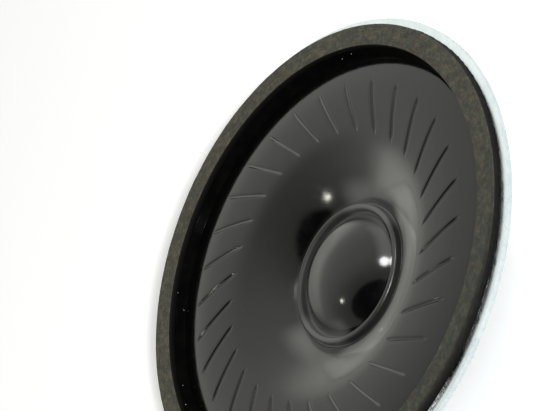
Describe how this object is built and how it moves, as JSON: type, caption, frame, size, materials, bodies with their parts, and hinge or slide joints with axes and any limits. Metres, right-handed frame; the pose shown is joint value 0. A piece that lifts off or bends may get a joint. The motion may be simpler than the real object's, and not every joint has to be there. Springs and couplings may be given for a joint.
{
  "type": "miniature loudspeaker",
  "caption": "Round miniature moving-coil loudspeaker: steel frame, front gasket, black film diaphragm with skewed grooves and a dome, magnet cup and solder lugs behind.",
  "frame": {"origin": "centre of the magnet cup's flat rear face, on the speaker's axis", "axes": "+Z along the axis, towards the listener, so the diaphragm faces up; the solder lugs stand on the -X side, mirrored about the XZ plane"},
  "size_m": [0.05, 0.05, 0.0116],
  "materials": {
    "fibre_gasket": "matte pressed fibre board",
    "zinc_steel": "zinc-plated pressed sheet",
    "glue": "dried clear adhesive",
    "film": "glossy thermoformed polyester film",
    "former": "varnished paper",
    "winding": "enamelled copper wire",
    "lead": "enamelled copper wire",
    "seal": "soft black sealing compound",
    "yoke": "bright zinc-plated soft iron",
    "magnet": "nickel-plated magnet",
    "cloth": "open black damping cloth",
    "board": "brown laminated phenolic paper",
    "lug": "tinned brass",
    "eyelet": "bright brass",
    "solder": "bright solder",
    "mark": "red paint dot"
  },
  "bodies": {
    "frame": {"basket_frame": "zinc_steel", "front_gasket": "fibre_gasket", "rim_glue_bead": "glue", "diaphragm_surround": "film", "coil_lead_start": "lead", "coil_lead_finish": "lead", "lead_seal": "seal", "yoke_cup": "yoke", "magnet_bond": "glue", "magnet_disc": "magnet", "pole_bond": "glue", "pole_cap": "yoke", "damping_cloth": "cloth", "terminal_board": "board", "terminal_lug_positive": "lug", "terminal_lug_negative": "lug", "lug_eyelets": "eyelet", "board_rivets": "eyelet", "solder_joint_positive": "solder", "solder_joint_negative": "solder", "polarity_mark": "mark"},
    "diaphragm": {"diaphragm_cone": "film", "coil_former": "former", "voice_coil": "winding", "coil_glue_ring": "glue"}
  },
  "joints": [
    {"name": "cone_travel", "type": "slide", "parent": "frame", "child": "diaphragm", "axis": [0, 0, 1], "range_m": [-0.001, 0.001], "stiffness_N_per_m": 1000, "deforming": ["diaphragm_surround", "coil_lead_start", "coil_lead_finish"]}
  ]
}
